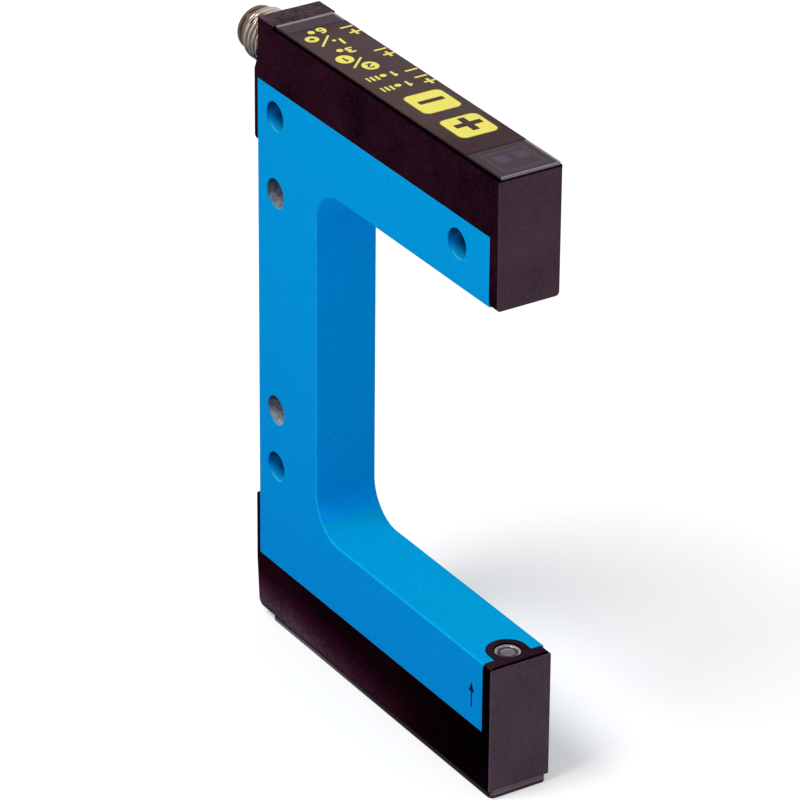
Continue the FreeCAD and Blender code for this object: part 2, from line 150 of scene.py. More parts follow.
def smooth(mesh, angle=CREASE):
    """Smooth shading that stays sharp where faces meet at more than an angle in degrees."""
    for face in mesh.polygons:
        face.use_smooth = True
    mesh.set_sharp_from_angle(angle=math.radians(angle))


def mesh_from(shape, name, angle=CREASE):
    mesh = bpy.data.meshes.new(name)
    shape.to_mesh(mesh)
    shape.free()
    smooth(mesh, angle)
    return mesh


def eased(node, name, width, wanted=None, reshape=None):
    """Piece that stands for a CAD node, with its facets joined and its sharp edges rounded.

    wanted says which of the sharp edges are rounded, and reshape moves the mesh's points first.
    """
    shape = bmesh.new()
    shape.from_mesh(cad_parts[node].data)
    bmesh.ops.remove_doubles(shape, verts=shape.verts, dist=WELD)
    if reshape:
        for vert in shape.verts:
            reshape(vert.co)
    bmesh.ops.dissolve_limit(shape, angle_limit=FLAT, verts=shape.verts, edges=shape.edges)
    edges = [edge for edge in shape.edges if len(edge.link_faces) == 2 and edge.calc_face_angle() > SHARP
             and (wanted is None or wanted(edge))]
    bmesh.ops.bevel(shape, geom=edges, offset=width, segments=2, profile=0.5, affect="EDGES",
                    clamp_overlap=True, offset_type="OFFSET", miter_outer="SHARP")
    bmesh.ops.remove_doubles(shape, verts=shape.verts, dist=WELD)
    bmesh.ops.triangulate(shape, faces=[f for f in shape.faces if len(f.verts) > 4])
    piece = new_object(name, mesh_from(shape, name))
    weighted = piece.modifiers.new("Even shading", "WEIGHTED_NORMAL")
    weighted.keep_sharp = True
    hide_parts(node)
    return piece


def bridge(shape, a, b):
    """Quads between two closed rows of as many points."""
    for j in range(len(a)):
        k = (j + 1) % len(a)
        shape.faces.new((a[j], a[k], b[k], b[j]))


def revolve(shape, rings, count=72, spin=None):
    """Quads round the X axis through (x, radius) rings; spin gives a radius change from x and the angle."""
    rows = []
    for x, radius in rings:
        row = []
        for j in range(count):
            turn = 2.0 * math.pi * j / count
            r = radius + (spin(x, turn) if spin else 0.0)
            row.append(shape.verts.new((x, r * math.cos(turn), r * math.sin(turn))))
        rows.append(row)
    for a, b in zip(rows, rows[1:]):
        bridge(shape, a, b)
    return rows


# Helpers for materials

EFFECTS = {}
FINISHES = {}
RELIEF = 0.05 * MM
SQUARE_ON = 0.7


class Nodes:
    """Short calls that add nodes to one tree."""

    def __init__(self, tree):
        self.tree = tree

    def node(self, kind, inputs=(), **settings):
        made = self.tree.nodes.new(kind)
        for key, value in settings.items():
            setattr(made, key, value)
        for key, value in dict(inputs).items():
            self.put(value, made.inputs[key])
        return made

    def put(self, value, socket):
        """Link an output to a socket, or write a plain value on it."""
        if isinstance(value, bpy.types.NodeSocket):
            self.tree.links.new(value, socket)
        elif hasattr(socket.default_value, "__len__") and len(socket.default_value) == 4 and len(value) == 3:
            socket.default_value = (*value, 1.0)
        else:
            socket.default_value = value

    def math(self, operation, a, b=0.0):
        return self.node("ShaderNodeMath", {0: a, 1: b}, operation=operation).outputs[0]

    def plus(self, a, b):
        return self.math("ADD", a, b)

    def less(self, a, b):
        return self.math("SUBTRACT", a, b)

    def times(self, *factors):
        """Product of values; for masks, the place that all of them share."""
        product = factors[0]
        for factor in factors[1:]:
            product = self.math("MULTIPLY", product, factor)
        return product

    def most(self, *values):
        """Largest of values; for masks, the place that any of them covers."""
        largest = values[0]
        for value in values[1:]:
            largest = self.math("MAXIMUM", largest, value)
        return largest

    def above(self, value, limit):
        return self.math("GREATER_THAN", value, limit)

    def below(self, value, limit):
        return self.math("LESS_THAN", value, limit)

    def size(self, value):
        return self.math("ABSOLUTE", value)

    def near(self, value, middle, reach):
        """1 where a value is nearer to the middle than the reach."""
        return self.below(self.size(self.less(value, middle)), reach)

    def reach(self, a, b):
        """Distance from an axis, from the two coordinates across it."""
        return self.math("SQRT", self.plus(self.times(a, a), self.times(b, b)))

    def fade(self, value, start, stop):
        """0 at the start, 1 at the stop and straight between; the start may be the larger."""
        return self.node("ShaderNodeMapRange", {0: value, 1: start, 2: stop}).outputs[0]

    def mix(self, factor, a, b):
        return self.node("ShaderNodeMix", {0: factor, 6: a, 7: b}, data_type="RGBA").outputs[2]

    def blend(self, factor, a, b):
        return self.node("ShaderNodeMix", {0: factor, 2: a, 3: b}, data_type="FLOAT").outputs[0]

    def toned(self, colour, tone, kind="MULTIPLY"):
        """A colour times a tone that varies over the surface, or another blend of the two."""
        return self.node("ShaderNodeMix", {0: 1.0, 6: colour, 7: tone}, data_type="RGBA",
                         blend_type=kind).outputs[2]

    def spot(self):
        """Object coordinates, which are the frame's own."""
        return self.node("ShaderNodeTexCoord").outputs["Object"]

    def parts(self, vector):
        """The x, y and z of a vector."""
        return tuple(self.node("ShaderNodeSeparateXYZ", {0: vector}).outputs)

    def place(self):
        return self.parts(self.spot())

    def facing(self):
        """The way the surface faces, as x, y and z."""
        return self.parts(self.node("ShaderNodeNewGeometry").outputs["Normal"])


class Finish(Nodes):
    """A material under construction, with its Principled shader."""

    def __init__(self, name, colour, **sockets):
        self.material = bpy.data.materials.new(name)
        self.material.use_nodes = True
        self.material.diffuse_color = (*colour, 1.0)
        super().__init__(self.material.node_tree)
        self.shader = self.tree.nodes["Principled BSDF"]
        self.shader.inputs["Base Color"].default_value = (*colour, 1.0)
        for socket, value in sockets.items():
            self.shader.inputs[socket.replace("_", " ")].default_value = value

    def feed(self, socket, value):
        self.put(value, self.shader.inputs[socket])

    def group(self, effect_name, **inputs):
        """Outputs of a shared effect, placed with this finish's own values."""
        made = self.node("ShaderNodeGroup", node_tree=EFFECTS[effect_name])
        for key, value in inputs.items():
            self.put(value, made.inputs[key])
        return made.outputs

    def tint(self, colour, tone):
        self.feed("Base Color", self.toned(colour, tone))

    def bump(self, height, strength):
        made = self.node("ShaderNodeBump", {"Strength": strength, "Distance": RELIEF, "Height": height})
        self.feed("Normal", made.outputs[0])

    def touch(self, low_rough, high_rough, height, depth, **inputs):
        """Roughness from handling, between two values, and a relief."""
        self.feed("Roughness", self.group("handling", Low=low_rough, High=high_rough, **inputs)["Roughness"])
        self.bump(height, depth)

    def wear(self, piece):
        """Put this finish on a piece, in place of what it had."""
        piece.data.materials.clear()
        piece.data.materials.append(self.material)
        return piece


class Effect(Nodes):
    """A shader node group with float inputs (name, default) and float outputs, for several finishes."""

    def __init__(self, name, inputs, outputs):
        super().__init__(bpy.data.node_groups.new(name, "ShaderNodeTree"))
        for label, default in inputs:
            socket = self.tree.interface.new_socket(label, in_out="INPUT", socket_type="NodeSocketFloat")
            socket.default_value = default
        for label in outputs:
            self.tree.interface.new_socket(label, in_out="OUTPUT", socket_type="NodeSocketFloat")
        self.given = self.tree.nodes.new("NodeGroupInput").outputs
        self.result = self.tree.nodes.new("NodeGroupOutput").inputs

    def scaled(self, factor):
        return self.times(self.given["Scale"], factor)

    def noise(self, scale, detail=2.0, roughness=0.5, where=None):
        return self.node("ShaderNodeTexNoise", {"Vector": where or self.spot(), "Scale": scale, "Detail": detail,
                                                "Roughness": roughness}).outputs[0]

    def swing(self, value, contrast):
        """A value round 0.5 turned into one round 0."""
        return self.times(self.less(value, 0.5), contrast)

    def ramp(self, value, start, stop):
        """0 below start, 1 above stop, smooth between."""
        return self.node("ShaderNodeMapRange", {0: value, 1: start, 2: stop},
                         interpolation_type="SMOOTHSTEP").outputs[0]

    def weighed(self, a, share_a, b, share_b):
        return self.plus(self.times(a, share_a), self.times(b, share_b))

    def give(self, **results):
        """Send values to the outputs and return the finished group."""
        for label, value in results.items():
            self.put(value, self.result[label])
        return self.tree


def build_effects():
    """The effects that several finishes share."""
    g = Effect("Orange peel and speckle", [("Scale", 2600.0), ("Contrast", 0.12)], ("Tone", "Height"))
    fine = g.noise(g.given["Scale"], 2.0, 0.6)
    coarse = g.noise(g.scaled(0.22), 1.0)
    cloud = g.noise(g.scaled(0.02), 2.0)
    swing = g.plus(g.swing(fine, g.given["Contrast"]), g.swing(cloud, 0.06))
    EFFECTS["peel"] = g.give(Tone=g.plus(1.0, swing), Height=g.weighed(fine, 0.35, coarse, 0.65))

    g = Effect("Eroded grain", [("Scale", 3200.0), ("Contrast", 0.35)], ("Tone", "Height"))
    pits = g.node("ShaderNodeTexVoronoi", {"Vector": g.spot(), "Scale": g.given["Scale"], "Randomness": 1.0},
                  feature="SMOOTH_F1").outputs[0]
    fine = g.noise(g.scaled(1.6), 2.0, 0.6)
    cloud = g.noise(g.scaled(0.06), 3.0, 0.6)
    swing = g.plus(g.swing(fine, g.given["Contrast"]), g.swing(cloud, g.given["Contrast"]))
    EFFECTS["grain"] = g.give(Tone=g.plus(1.0, swing), Height=g.weighed(pits, 0.7, fine, 0.3))

    g = Effect("Handling", [("Scale", 160.0), ("Low", 0.3), ("High", 0.45)], ("Roughness", "Mask"))
    mask = g.ramp(g.noise(g.given["Scale"], 4.0, 0.6), 0.36, 0.66)
    span = g.less(g.given["High"], g.given["Low"])
    EFFECTS["handling"] = g.give(Roughness=g.plus(g.given["Low"], g.times(mask, span)), Mask=mask)

    g = Effect("Turned lines", [("Scale", 9000.0), ("Contrast", 0.2)], ("Tone", "Height"))
    x, y, z = g.place()
    along = g.node("ShaderNodeCombineXYZ", {0: x, 1: g.times(y, 0.06), 2: g.times(z, 0.06)}).outputs[0]
    lines = g.noise(g.given["Scale"], 3.0, 0.7, along)
    stain = g.noise(g.scaled(0.1), 2.0)
    swing = g.plus(g.swing(lines, g.given["Contrast"]), g.swing(stain, 0.25))
    EFFECTS["turned"] = g.give(Tone=g.plus(1.0, swing), Height=lines)

    g = Effect("Board tracks", [("Scale", 700.0)], ("Track", "Pad", "Height"))
    track = g.node("ShaderNodeTexBrick", {"Vector": g.spot(), "Scale": g.given["Scale"], "Mortar Size": 0.06,
                                          "Mortar Smooth": 0.1, "Brick Width": 2.4,
                                          "Row Height": 0.55}).outputs["Fac"]
    dots = g.node("ShaderNodeTexVoronoi", {"Vector": g.spot(), "Scale": g.scaled(0.8),
                                           "Randomness": 0.35}).outputs[0]
    pad = g.less(1.0, g.ramp(dots, 0.16, 0.2))
    EFFECTS["tracks"] = g.give(Track=track, Pad=pad, Height=g.weighed(track, 0.4, pad, 0.6))


def plain_finish(name, colour, low_rough, high_rough, grain="grain", scale=3200.0, contrast=0.3, depth=0.15,
                 **sockets):
    """Finish with a shared grain, a tone that varies and roughness from handling."""
    if name not in FINISHES:
        f = FINISHES[name] = Finish(name, colour, **sockets)
        texture = f.group(grain, Scale=scale, Contrast=contrast)
        f.tint(colour, texture["Tone"])
        f.touch(low_rough, high_rough, texture["Height"], depth)
    return FINISHES[name]


def paint_ground(f, paint):
    """Blue with painted shade that deepens it towards the foot on the near side, painted light that shifts its tone on
    faces that look up or ahead, and a painted highlight on the eased edges.
    """
    y, z = f.place()[1:]
    ahead, across, up = f.facing()
    green, blue = paint[1], paint[2]
    edge_highlight_blue, speck_blue = (0.01, 0.5, 0.93), (0.03, 0.55, 0.95)
    # Painted shade: the near side darkens towards the foot.
    foot = f.times(f.fade(z, SEAT_TOP, SEAT_TOP - 75.0 * MM), f.below(y, -HALF + 0.05 * MM))
    ground = f.mix(foot, paint, (0.0, green * 0.74, blue * 0.86))
    # Painted light: faces that look up or ahead get lit and shaded copies of the blue.
    ground = f.mix(f.above(up, SQUARE_ON), ground, (0.0, green * 1.05, blue * 0.93))
    ground = f.mix(f.above(ahead, SQUARE_ON), ground, (0.0, green * 0.98, blue * 1.14))
    # Painted highlight along the eased edges of the side faces.
    edge_highlight = f.times(f.near(f.size(across), 0.6, 0.33), f.above(up, -0.2))
    ground = f.mix(f.times(edge_highlight, 0.28), ground, edge_highlight_blue)
    dust = f.node("ShaderNodeTexVoronoi", {"Vector": f.spot(), "Scale": 2300.0}).outputs
    chance = f.node("ShaderNodeSeparateColor", {0: dust["Color"]}).outputs[0]
    speck = f.times(f.below(dust["Distance"], 0.3), f.above(chance, 0.55))
    return f.mix(f.times(speck, 0.15), ground, speck_blue)


def cross_holes(f):
    """Masks in the cross holes: the bare walls, the painted shade on walls that face down or lie deep in the painted
    holes, and the painted highlight on the sills near the mouth.
    """
    x, y, z = f.place()
    up = f.facing()[2]
    bores = bare = 0.0
    for hole_x, drop, is_bare in HOLES:
        ring = f.below(f.reach(f.less(x, hole_x), f.less(z, SEAT_TOP - drop)), HOLE_REACH)
        bores = f.most(bores, ring)
        bare = f.most(bare, f.times(ring, is_bare))
    inside = f.below(f.size(y), HALF - 0.2 * MM)
    bores, bare = f.times(bores, inside), f.times(bare, inside)
    depth = f.less(HALF, f.size(y))
    # Painted shade on walls that face down and, in the painted holes, further in; painted highlight on the sills that
    # face up near the mouth.
    deep = f.times(f.fade(depth, 0.9 * MM, 2.6 * MM), f.less(0.8, bare))
    dark = f.most(f.fade(up, 0.35, -0.45), deep)
    sill = f.times(f.fade(up, 0.45, 0.9), f.below(depth, 0.55 * MM))
    return bare, f.times(bores, dark), f.times(bores, sill)


def beam_arrow(f):
    """Mask of the printed arrow along the beam, on the near side close to the tip."""
    x, y, z = f.place()
    middle = SEAT_TOP - 71.7 * MM
    shaft = f.times(f.near(x, -1.29 * MM, 0.14 * MM), f.near(z, middle, 1.35 * MM))
    taper = f.times(f.less(middle + 2.7 * MM, z), 0.42)
    head = f.times(f.below(f.size(f.less(x, -1.3 * MM)), taper), f.above(z, middle + 1.15 * MM))
    return f.times(f.most(shaft, head), f.below(y, -HALF + 0.02 * MM))


def paint_finish(colours):
    """Blue paint over cast metal, bare in two of the cross holes, with a printed beam arrow near the tip, and painted
    shade and a painted highlight in the cross holes.
    """
    ink, bare_grey = (0.002, 0.006, 0.03), (0.38, 0.39, 0.45)
    sill_highlight_blue, hole_shade = (0.08, 0.6, 0.95), (0.0, 0.02, 0.09)
    f = Finish("Blue paint", colours.paint, IOR=1.5, Specular_IOR_Level=0.002)
    peel = f.group("peel", Scale=2000.0, Contrast=0.3)
    metal = f.group("grain", Scale=1000.0, Contrast=2.2)
    painted = f.toned(paint_ground(f, colours.paint), peel["Tone"])
    printed = f.mix(beam_arrow(f), painted, ink)
    bare, dark, sill = cross_holes(f)
    lining = f.mix(bare, printed, f.toned(bare_grey, metal["Tone"]))
    # Painted highlight on the sills, then painted shade on the hole walls.
    lining = f.mix(f.times(sill, 0.6), lining, sill_highlight_blue)
    f.feed("Base Color", f.mix(f.times(dark, 0.9), lining, hole_shade))
    f.feed("Metallic", f.times(bare, 0.4))
    smear = f.group("handling", Scale=120.0, Low=0.4, High=0.5)["Roughness"]
    f.feed("Roughness", f.blend(bare, smear, 0.55))
    f.bump(f.blend(bare, peel["Height"], metal["Height"]), 0.18)
    return f


def moulding_finish(colours):
    """Black grained moulding with painted light: a painted reflection on its end faces, lighter tops, a lower side
    painted darker towards the nose with a painted sheen along the foot near the heel, and painted shade in its seams.
    """
    front_side_shade, heel_side_sheen, seam_shade_black = (0.0013, 0.0001, 0.0004), (0.0072, 0.0009, 0.0032), (0.003, 0.0008, 0.0015)
    low_top_light, high_top_light = (0.0254, 0.0104, 0.0182), (0.075, 0.051, 0.06)
    low_end_light, high_end_light = (0.0877, 0.0556, 0.0777), (0.0753, 0.041, 0.0577)
    f = Finish("Black moulding", colours.moulding, Specular_IOR_Level=0.001)
    x, y, z = f.place()
    end = f.above(x, NOSE_TIP - 0.16 * MM)
    along = f.fade(x, -6.0 * MM, -50.0 * MM)
    upper = f.fade(z, 70.0 * MM, 80.0 * MM)
    # Painted light: faces that look up are lighter.
    shelf = f.above(f.facing()[2], SQUARE_ON)
    # Painted shade and sheen: the lower cover's side is darker towards the nose and lighter towards the heel.
    side = f.mix(upper, f.mix(along, front_side_shade, heel_side_sheen), colours.moulding)
    side = f.mix(shelf, side, f.mix(upper, low_top_light, high_top_light))
    # Painted sheen added along the foot near the heel.
    heel_sheen = f.times(along, f.fade(z, 8.0 * MM, 2.0 * MM))
    heel_sheen_levels = [f.times(f.math("POWER", heel_sheen, power), level)
            for power, level in ((1.6, 0.058), (3.0, 0.038), (2.2, 0.051))]
    side = f.toned(side, f.node("ShaderNodeCombineColor", dict(enumerate(heel_sheen_levels))).outputs[0], "ADD")
    # Painted reflection: the end faces get a lighter grey.
    side = f.mix(end, side, f.mix(upper, low_end_light, high_end_light))

    lid = low("top_lid")
    # Painted shade, near black, on the cover next to the lid's front and near edges, and along the top of the lower
    # nose's front.
    front_lip = f.above(x, NOSE_TIP - 0.36 * MM)
    under_lid = f.times(f.above(z, lid[2] - 0.15 * MM), f.above(x, lid[0]))
    near_ledge = f.most(front_lip, f.below(y, -HALF + 0.6 * MM))
    nose_line = f.times(front_lip, f.above(z, GAP[0] - 0.22 * MM), f.below(z, GAP[1]))
    seam = f.most(f.times(under_lid, near_ledge), nose_line)
    grain = f.group("grain", Scale=1700.0, Contrast=f.blend(end, 2.4, 0.8))
    f.tint(f.mix(seam, side, seam_shade_black), grain["Tone"])
    f.touch(0.45, 0.6, grain["Height"], 0.3)
    return f


def strip_finish():
    """Dark grey plastic strip, paler towards the heel, with painted shade, near black, in the gap above its plate and
    painted light on its front faces.
    """
    gap_shade_black, side_near_nose, side_near_heel = (0.004, 0.003, 0.004), (0.013, 0.006, 0.009), (0.14, 0.125, 0.136)
    ledge_front_highlight, plate_front_light = (0.2, 0.16, 0.18), (0.07, 0.042, 0.06)
    f = Finish("Strip plastic", (0.1, 0.08, 0.09), Specular_IOR_Level=0.05)
    x, _, z = f.place()
    plate = f.below(z, 0.54 * MM)
    # The side is paler towards the heel.
    side = f.mix(f.fade(x, -26.0 * MM, -48.0 * MM), side_near_nose, side_near_heel)
    # Painted shade: the waist above the plate is near black.
    side = f.mix(plate, gap_shade_black, side)
    # Painted light: the front faces are lighter, and the waist's front most of all, as a highlight line.
    front = f.mix(plate, ledge_front_highlight, plate_front_light)
    grain = f.group("grain", Scale=2600.0, Contrast=0.5)
    f.tint(f.mix(f.above(x, NOSE_TIP - 0.5 * MM), side, front), grain["Tone"])
    f.touch(0.35, 0.5, grain["Height"], 0.2)
    return f


def smoked_finish(colours):
    """Smoked clear moulding: two lamps in a frame behind the front window, a painted highlight on its rims and painted
    shade in its seams and on its sides.
    """
    frame_grey, lamp_grey = (0.062, 0.04, 0.058), (0.068, 0.05, 0.085)
    rim_highlight_grey, seam_shade_black = (0.26, 0.22, 0.25), (0.006, 0.002, 0.004)
    f = Finish("Smoked window", colours.smoke, IOR=1.49, Transmission_Weight=0.15, Specular_IOR_Level=0.05)
    x, y, z = f.place()
    lo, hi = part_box("top_lid")
    film_rear, film_front = (corner[0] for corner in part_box("keypad_foil"))

    def band(value, start, stop, soft=0.02 * MM):
        """1 where a value lies between two places, with edges of a given softness."""
        return f.times(f.fade(value, start - soft, start + soft), f.fade(value, stop + soft, stop - soft))

    def patch(x0, x1, y0, y1, soft):
        """Patch of the front window, set out in millimetres from the film's edge and the middle."""
        return f.times(band(x, film_front + x0 * MM, film_front + x1 * MM, soft * MM),
                       band(y, y0 * MM, y1 * MM, soft * MM))

    window = (hi[0] - film_front) / MM
    edge = f.less(patch(1.3, window - 1.1, -3.5, 3.4, 0.12), patch(1.8, window - 1.6, -3.0, 2.9, 0.12))
    lamps = f.most(patch(2.6, 4.6, -2.4, -0.5, 0.35), patch(2.6, 4.6, 0.6, 2.5, 0.35))
    shade = f.mix(edge, colours.smoke, frame_grey)
    shade = f.mix(lamps, shade, lamp_grey)
    # Painted highlight: the rims are pale grey.
    rim = f.most(f.below(x, lo[0] + 0.65 * MM), f.above(x, hi[0] - 0.3 * MM), f.above(y, hi[1] - 0.4 * MM))
    shade = f.mix(rim, shade, rim_highlight_grey)
    # Painted shade, near black, along the film's ends, on the lid's sides and low on its rims.
    dark = f.most(band(x, film_rear - 0.12 * MM, film_rear), band(x, film_front, film_front + 0.22 * MM),
                  f.above(f.size(y), hi[1] - 0.05 * MM), f.times(rim, f.below(z, hi[2] - 0.3 * MM)))
    cloud = f.group("peel", Scale=1500.0, Contrast=0.45)
    f.tint(f.mix(dark, shade, seam_shade_black), cloud["Tone"])
    f.touch(0.05, 0.16, cloud["Height"], 0.03, Scale=420.0)
    return f


def film_finishes(colours):
    """Ground, print and outline of the keypad film, which share its fine matt surface."""
    made = []
    for name, colour, contrast in (("Film ground", colours.film, 0.35),
                                   ("Film yellow", colours.print_yellow, 0.06),
                                   ("Film outline", (0.11, 0.09, 0.012), 0.2)):
        f = Finish(name, colour, Specular_IOR_Level=0.06)
        grain = f.group("grain", Scale=2600.0, Contrast=contrast)
        if not made:
            x = f.place()[0]
            ends = f.most(f.fade(x, -16.0 * MM, -9.0 * MM), f.fade(x, -45.0 * MM, -52.0 * MM))
            colour = f.mix(ends, colour, tuple(c * k for c, k in zip(colour, (0.55, 0.3, 0.42))))
        f.tint(colour, grain["Tone"])
        f.touch(0.3, 0.42, grain["Height"], 0.06)
        made.append(f)
    return made


def glass_finish():
    """Clear moulded lens: a cloudy rim, and painted shade on the clear crown and on the ring round it."""
    cloudy_rim, shaded_crown, shaded_ring = (0.85, 0.82, 0.85), (0.34, 0.31, 0.34), (0.06, 0.045, 0.055)
    f = Finish("Lens", (0.7, 0.68, 0.7), IOR=1.5, Transmission_Weight=0.72)
    x, y, _ = f.place()
    reach = f.reach(x, y)
    radius = high("emitter_lens")[0]
    # Painted shade: the clear crown is greyer and the ring round it near black.
    ring = f.times(f.above(reach, radius * 0.52), f.below(reach, radius * 0.76))
    cloudy = f.mix(f.below(reach, radius * 0.5), cloudy_rim, shaded_crown)
    cloud = f.group("grain", Scale=700.0, Contrast=1.6)
    f.tint(f.mix(ring, cloudy, shaded_ring), cloud["Tone"])
    f.touch(0.03, 0.2, cloud["Height"], 0.08, Scale=900.0)
    return f


def nickel_finish(colours):
    """Nickel plate with turned lines, with painted shade in the grooves and towards its underside."""
    groove_shade, underside_shade = (0.11, 0.065, 0.05), (0.07, 0.04, 0.035)
    f = Finish("Nickel plate", colours.nickel, Metallic=1.0)
    _, y, z = f.place()
    lo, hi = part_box("connector_shell")
    reach = f.reach(y, f.less(z, (lo[2] + hi[2]) / 2.0))
    # Painted shade in the thread grooves and on faces that look down.
    groove = f.fade(reach, hi[1] - 0.1 * MM, hi[1] - 0.5 * MM)
    under = f.fade(f.facing()[2], 0.55, -0.35)
    shade = f.mix(f.times(groove, 0.9), colours.nickel, groove_shade)
    turned = f.group("turned", Scale=5200.0, Contrast=0.3)
    f.tint(f.mix(f.times(under, 0.85), shade, underside_shade), turned["Tone"])
    f.touch(0.14, 0.3, turned["Height"], 0.12)
    return f


def board_finish(name, lacquer):
    """Circuit board: lacquer over tracks, with tinned pads."""
    tin = (0.72, 0.7, 0.66)
    f = Finish(name, lacquer)
    tracks = f.group("tracks", Scale=620.0)
    ground = f.mix(tracks["Track"], lacquer, tuple(c * 2.2 + 0.01 for c in lacquer))
    f.feed("Base Color", f.mix(tracks["Pad"], ground, tin))
    f.feed("Metallic", tracks["Pad"])
    f.touch(0.22, 0.4, tracks["Height"], 0.3)
    return f


def lamp_finish(name, colour):
    """Moulded lamp body of cloudy resin."""
    return plain_finish(name, colour, 0.12, 0.3, "grain", 1800.0, 0.3, 0.05, Transmission_Weight=0.5, IOR=1.5)


def ribbon_finish():
    """Flat flexible cable: copper tracks under amber film."""
    amber, copper = (0.42, 0.17, 0.04), (0.75, 0.38, 0.16)
    f = Finish("Ribbon film", (0.55, 0.22, 0.05))
    stripe = f.math("SINE", f.times(f.place()[1], 2.0 * math.pi / (0.5 * MM)))
    track = f.above(stripe, 0.1)
    grain = f.group("grain", Scale=1500.0, Contrast=0.25)
    f.tint(f.mix(track, amber, copper), grain["Tone"])
    f.feed("Metallic", f.times(track, 0.6))
    f.touch(0.25, 0.4, track, 0.3)
    return f


# Operators, one for each piece or group of like pieces

class SENSOR_OT_housing(bpy.types.Operator):
    """Paint the fork blue and ease its edges"""
    bl_idname = "sensor.housing"
    bl_label = "Painted fork"

    def execute(self, context):
        sizes = context.scene.sensor_sizes

        def outside(edge):
            """The edges of the two side faces, and of the slots round the lens tubes."""
            a, b = (vert.co for vert in edge.verts)
            side = min(abs(a.y), abs(b.y)) > HALF - 0.4 * MM and a.y * b.y > 0
            level = any(abs(a.z - gap) < WELD and abs(b.z - gap) < WELD for gap in GAP)
            return side or (level and min(a.x, b.x) > -3.3 * MM)

        fork = eased("fork_housing", "painted_fork", sizes.paint_round, outside)
        paint_finish(context.scene.sensor_colours).wear(fork)
        return {"FINISHED"}


class SENSOR_OT_covers(bpy.types.Operator):
    """Give both covers and the closing strip their grained black mouldings"""
    bl_idname = "sensor.covers"
    bl_label = "Covers and base strip"

    def execute(self, context):
        sizes = context.scene.sensor_sizes

        def tight_heel(place):
            """Draw the heel's round in towards its corner."""
            if place.x < HEEL_X + HEEL_REACH and place.z < HEEL_Z + HEEL_REACH:
                place.x = HEEL_X + HEEL_SHARE * (place.x - HEEL_X)
                place.z = HEEL_Z + HEEL_SHARE * (place.z - HEEL_Z)

        def longer_strip(place):
            """Take the strip's rear end on, up to the tighter heel."""
            if place.x < low("base_strip")[0] + STRIP_REACH:
                place.x -= STRIP_WAY

        def rounder_nose(place):
            """Open out the rounds on the two lower corners of the upper nose."""
            inset = HALF - abs(place.y)
            if place.x > NOSE_TIP - NOSE_BACK and inset < NOSE_REACH and place.z < GAP[1] + NOSE_REACH:
                place.y = math.copysign(HALF - NOSE_SHARE * inset, place.y)
                place.z = GAP[1] + NOSE_SHARE * (place.z - GAP[1])

        black = moulding_finish(context.scene.sensor_colours)
        for node, reshape in (("upper_cover", rounder_nose), ("lower_cover", tight_heel)):
            black.wear(eased(node, node + "_moulding", sizes.moulding_round, reshape=reshape))
        strip_finish().wear(eased("base_strip", "closing_strip", 0.06 * MM, reshape=longer_strip))
        return {"FINISHED"}


class SENSOR_OT_lid(bpy.types.Operator):
    """Make the smoked lid, whose ends show as the two windows"""
    bl_idname = "sensor.lid"
    bl_label = "Smoked lid"

    def execute(self, context):
        lid = eased("top_lid", "smoked_windows", 0.07 * MM)
        smoked_finish(context.scene.sensor_colours).wear(lid)
        return {"FINISHED"}


def stroke(points, width):
    """Quads along a line of points and an eight-sided dot at each point, as closed polygons."""
    shapes = []
    for (ax, ay), (bx, by) in zip(points, points[1:]):
        length = math.hypot(bx - ax, by - ay)
        nx = -(by - ay) / length * width / 2.0
        ny = (bx - ax) / length * width / 2.0
        shapes.append([(ax + nx, ay + ny), (ax - nx, ay - ny), (bx - nx, by - ny), (bx + nx, by + ny)])
    for px, py in points[1:-1]:
        shapes.append(disc((px, py), width / 2.0, width / 2.0, 8))
    return shapes


def disc(centre, reach_x, reach_y, count=28):
    return [(centre[0] + reach_x * math.cos(2.0 * math.pi * i / count),
             centre[1] + reach_y * math.sin(2.0 * math.pi * i / count)) for i in range(count)]


def rounded_square(centre, half_x, half_y, corner, steps=7):
    points = []
    for quarter in range(4):
        cx = centre[0] + (half_x - corner) * (1 if quarter in (0, 3) else -1)
        cy = centre[1] + (half_y - corner) * (1 if quarter in (0, 1) else -1)
        for i in range(steps + 1):
            turn = math.pi / 2.0 * (quarter + i / steps)
            points.append((cx + corner * math.cos(turn), cy + corner * math.sin(turn)))
    return points


# Paths of the plain numbers, as (across, up) from the lower left corner
DIGITS = {
    "1": [(0.15, 0.68), (0.55, 1.0), (0.55, 0.0)],
    "2": [(0.05, 0.78), (0.3, 1.0), (0.7, 1.0), (0.95, 0.75), (0.9, 0.5), (0.05, 0.0), (1.0, 0.0)],
    "3": [(0.05, 0.95), (0.75, 1.0), (0.95, 0.76), (0.5, 0.54), (0.98, 0.3), (0.75, 0.02), (0.05, 0.06)],
    "6": [(0.85, 0.98), (0.35, 0.85), (0.08, 0.4), (0.3, 0.02), (0.75, 0.02), (0.95, 0.3), (0.7, 0.52),
          (0.15, 0.42)],
}


def digit(which, corner, width, height, line):
    """A plain number that reads along -Y with its top towards +X; corner is its lower left, as (x, y)."""
    return stroke([(corner[0] + v * height, corner[1] - u * width) for u, v in DIGITS[which]], line)


def plus_sign(centre, reach, line):
    x, y = centre
    return stroke([(x - reach, y), (x + reach, y)], line) + stroke([(x, y - reach), (x, y + reach)], line)


# Layers of the film, in the order of its finishes
GROUND, YELLOW, OUTLINE = range(3)


